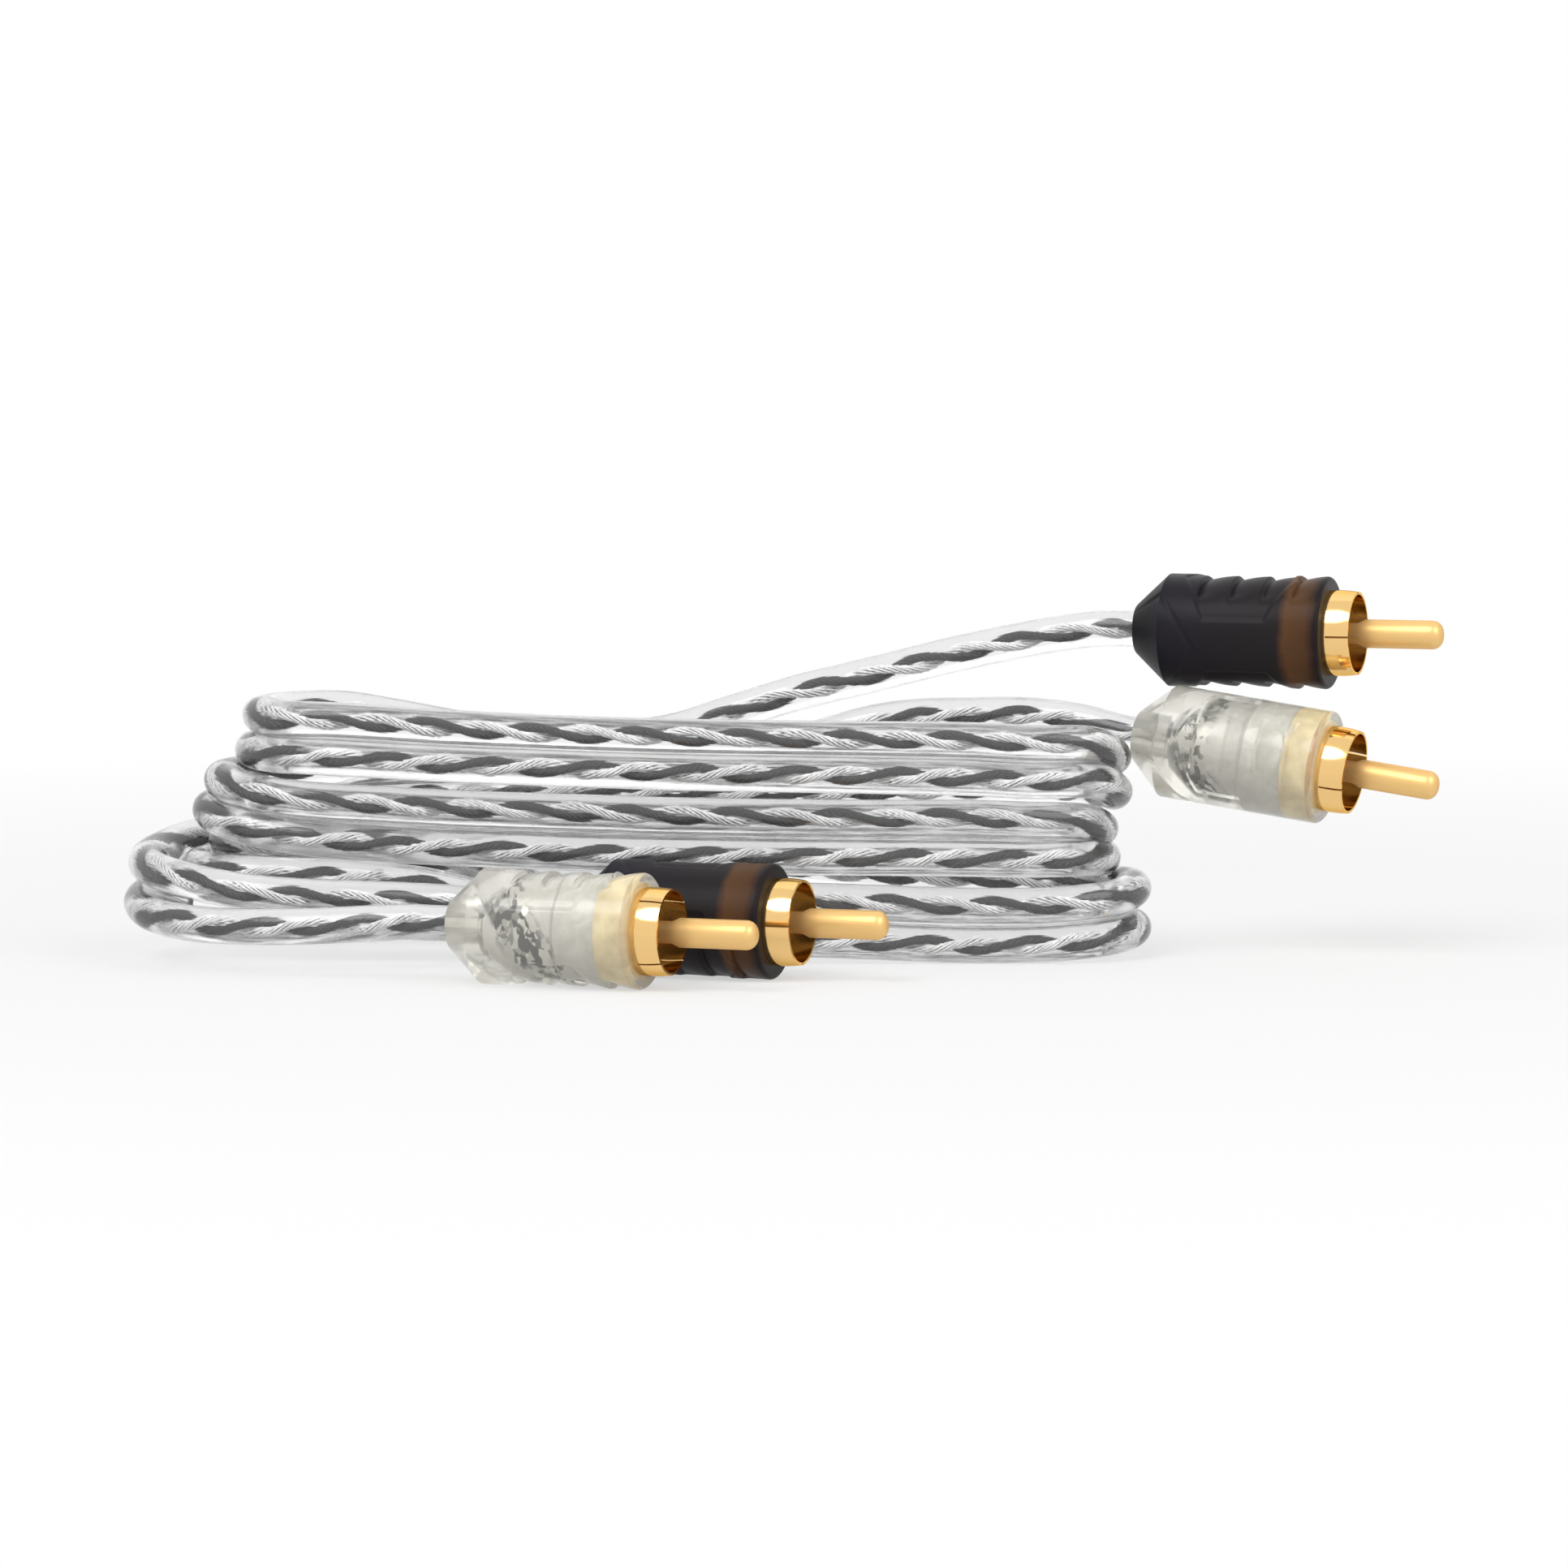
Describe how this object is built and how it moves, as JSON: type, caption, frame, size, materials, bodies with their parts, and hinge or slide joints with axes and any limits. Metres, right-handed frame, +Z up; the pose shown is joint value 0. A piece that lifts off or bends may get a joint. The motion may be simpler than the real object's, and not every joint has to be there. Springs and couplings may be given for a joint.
{
  "type": "audio cable",
  "caption": "Stereo phono audio cable: a clear twin lead wound in an oblong hank, with smoke and clear moulded plugs on its ends.",
  "frame": {"origin": "on the surface the hank lies on, under the flat of the hank's right half", "axes": "+X along the hank towards the top pair of plugs, +Y to the back, away from the bottom pair of plugs, +Z up"},
  "size_m": [0.146, 0.0577, 0.042],
  "materials": {
    "clear_jacket": "clear soft PVC, glossy, with faint lengthwise streaks",
    "smoke_mould": "smoke-black translucent PVC, satin, amber where light comes through",
    "clear_mould": "frosted clear PVC, warm grey, satin",
    "inner_mould": "pale grey pre-mould, dull",
    "gold_plate": "gold-plated brass, polished collar and satin pin",
    "insulator": "dark brown plastic disc",
    "dark_conductor": "dark grey stranded wire",
    "bright_conductor": "bright tinned stranded wire"
  },
  "bodies": {
    "root": {"hank": "clear_jacket", "lead_top_smoke": "clear_jacket", "lead_top_clear": "clear_jacket", "lead_loop_smoke": "clear_jacket", "lead_loop_clear": "clear_jacket", "top_smoke_body": "smoke_mould", "top_smoke_inner_mould": "inner_mould", "top_smoke_ground_shell": "gold_plate", "top_smoke_insulator": "insulator", "top_smoke_pin": "gold_plate", "top_smoke_signal_core": "dark_conductor", "top_smoke_ground_core": "bright_conductor", "top_clear_body": "clear_mould", "top_clear_inner_mould": "inner_mould", "top_clear_ground_shell": "gold_plate", "top_clear_insulator": "insulator", "top_clear_pin": "gold_plate", "top_clear_signal_core": "dark_conductor", "top_clear_ground_core": "bright_conductor", "front_clear_body": "clear_mould", "front_clear_inner_mould": "inner_mould", "front_clear_ground_shell": "gold_plate", "front_clear_insulator": "insulator", "front_clear_pin": "gold_plate", "front_clear_signal_core": "dark_conductor", "front_clear_ground_core": "bright_conductor", "front_smoke_body": "smoke_mould", "front_smoke_inner_mould": "inner_mould", "front_smoke_ground_shell": "gold_plate", "front_smoke_insulator": "insulator", "front_smoke_pin": "gold_plate", "front_smoke_signal_core": "dark_conductor", "front_smoke_ground_core": "bright_conductor"}
  },
  "joints": []
}
